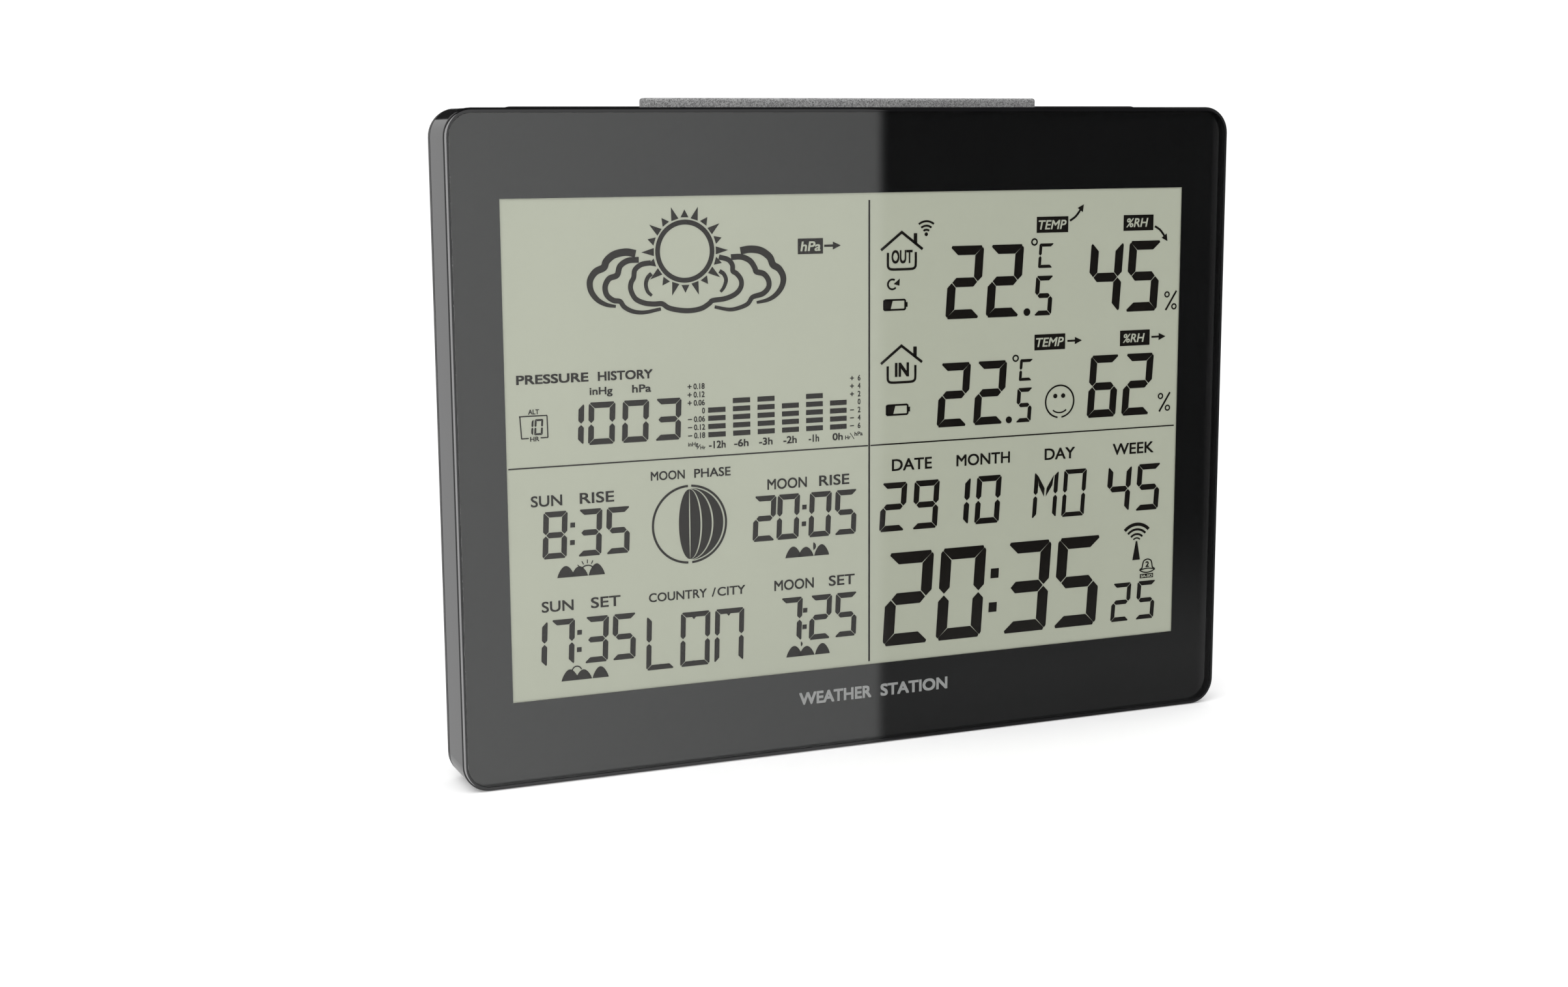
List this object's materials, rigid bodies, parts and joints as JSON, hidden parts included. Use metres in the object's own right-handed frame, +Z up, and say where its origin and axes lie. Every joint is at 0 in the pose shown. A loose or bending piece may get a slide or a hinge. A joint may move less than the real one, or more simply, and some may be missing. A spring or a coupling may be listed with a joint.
{
  "type": "home weather station",
  "caption": "Desk or wall weather station: wide glossy display unit with a light bar on top, rear keys, sliding battery door and fold-out foot.",
  "frame": {"origin": "centre of the base, on the surface that the case stands on", "axes": "+X to the right seen from the front, +Y from the display towards the back, +Z up"},
  "size_m": [0.1878, 0.028, 0.1457],
  "materials": {
    "case_black": "gloss black moulded plastic",
    "case_rear": "fine-textured black moulded plastic",
    "window_clear": "clear polished acrylic",
    "mask_black": "black print behind the window",
    "display_film": "satin polarising film over the display",
    "display_plates": "clear glass plates",
    "guide_clear": "milky acrylic light guide",
    "tray_white": "white moulded plastic",
    "led_white": "moulded light-emitting diodes",
    "contact_rubber": "layered conductive rubber",
    "board_green": "green solder mask",
    "chip_black": "black potting compound",
    "component_blue": "sleeved capacitors",
    "component_metal": "tinned steel",
    "component_white": "white moulded plastic",
    "component_black": "black moulded plastic",
    "antenna_wire": "red insulated wire",
    "ferrite_grey": "sintered ferrite",
    "coil_copper": "enamelled copper winding",
    "cell_jacket": "printed cell jacket, plain",
    "contact_metal": "nickel-plated steel",
    "lead_red": "red insulated wire",
    "lead_black": "black insulated wire",
    "bar_silver": "silver-grey metallic lacquer",
    "key_black": "satin black moulded plastic",
    "screw_steel": "blackened steel"
  },
  "bodies": {
    "case": {"front_shell": "case_black", "front_window": "window_clear", "window_mask": "mask_black", "display_polarizer": "display_film", "display_glass": "display_plates", "light_guide": "guide_clear", "display_tray": "tray_white", "backlight_leds": "led_white", "connector_strip": "contact_rubber", "main_board": "board_green", "controller_chip": "chip_black", "capacitors": "component_blue", "clock_crystal": "component_metal", "pressure_sensor": "component_metal", "climate_sensor": "component_white", "alarm_buzzer": "component_black", "key_switches": "component_black", "bar_switches": "component_black", "radio_module": "board_green", "radio_antenna": "antenna_wire", "ferrite_rod": "ferrite_grey", "antenna_coil": "coil_copper", "battery_1": "cell_jacket", "battery_2": "cell_jacket", "battery_3": "cell_jacket", "battery_contacts": "contact_metal", "battery_springs": "contact_metal", "battery_lead_positive": "lead_red", "battery_lead_negative": "lead_black", "rear_shell": "case_rear", "case_screws": "screw_steel", "board_screws": "screw_steel"},
    "battery_door": {"battery_door": "case_rear"},
    "light_bar": {"light_bar": "bar_silver"},
    "fold_out_foot": {"fold_out_foot": "case_rear"},
    "key_mode": {"key_mode": "key_black"},
    "key_alarm": {"key_alarm": "key_black"},
    "key_up": {"key_up": "key_black"},
    "key_down": {"key_down": "key_black"},
    "key_memory": {"key_memory": "key_black"},
    "key_channel": {"key_channel": "key_black"}
  },
  "joints": [
    {"name": "battery_door_slide", "type": "slide", "parent": "case", "child": "battery_door", "axis": [0, 0, 1], "range_m": [0, 0.052]},
    {"name": "light_bar_press", "type": "slide", "parent": "case", "child": "light_bar", "axis": [0, 0, -1], "range_m": [0, 0.0008], "stiffness_N_per_m": 800, "springref_m": -0.0006},
    {"name": "foot_hinge", "type": "hinge", "parent": "case", "child": "fold_out_foot", "pos_m": [0, 0.0113, 0.0027], "axis": [-1, 0, 0], "range_deg": [0, 90]},
    {"name": "key_mode_press", "type": "slide", "parent": "case", "child": "key_mode", "axis": [0, -1, 0], "range_m": [0, 0.0005], "stiffness_N_per_m": 900, "springref_m": -0.0005},
    {"name": "key_alarm_press", "type": "slide", "parent": "case", "child": "key_alarm", "axis": [0, -1, 0], "range_m": [0, 0.0005], "stiffness_N_per_m": 900, "springref_m": -0.0005},
    {"name": "key_up_press", "type": "slide", "parent": "case", "child": "key_up", "axis": [0, -1, 0], "range_m": [0, 0.0005], "stiffness_N_per_m": 900, "springref_m": -0.0005},
    {"name": "key_down_press", "type": "slide", "parent": "case", "child": "key_down", "axis": [0, -1, 0], "range_m": [0, 0.0005], "stiffness_N_per_m": 900, "springref_m": -0.0005},
    {"name": "key_memory_press", "type": "slide", "parent": "case", "child": "key_memory", "axis": [0, -1, 0], "range_m": [0, 0.0005], "stiffness_N_per_m": 900, "springref_m": -0.0005},
    {"name": "key_channel_press", "type": "slide", "parent": "case", "child": "key_channel", "axis": [0, -1, 0], "range_m": [0, 0.0005], "stiffness_N_per_m": 900, "springref_m": -0.0005}
  ]
}
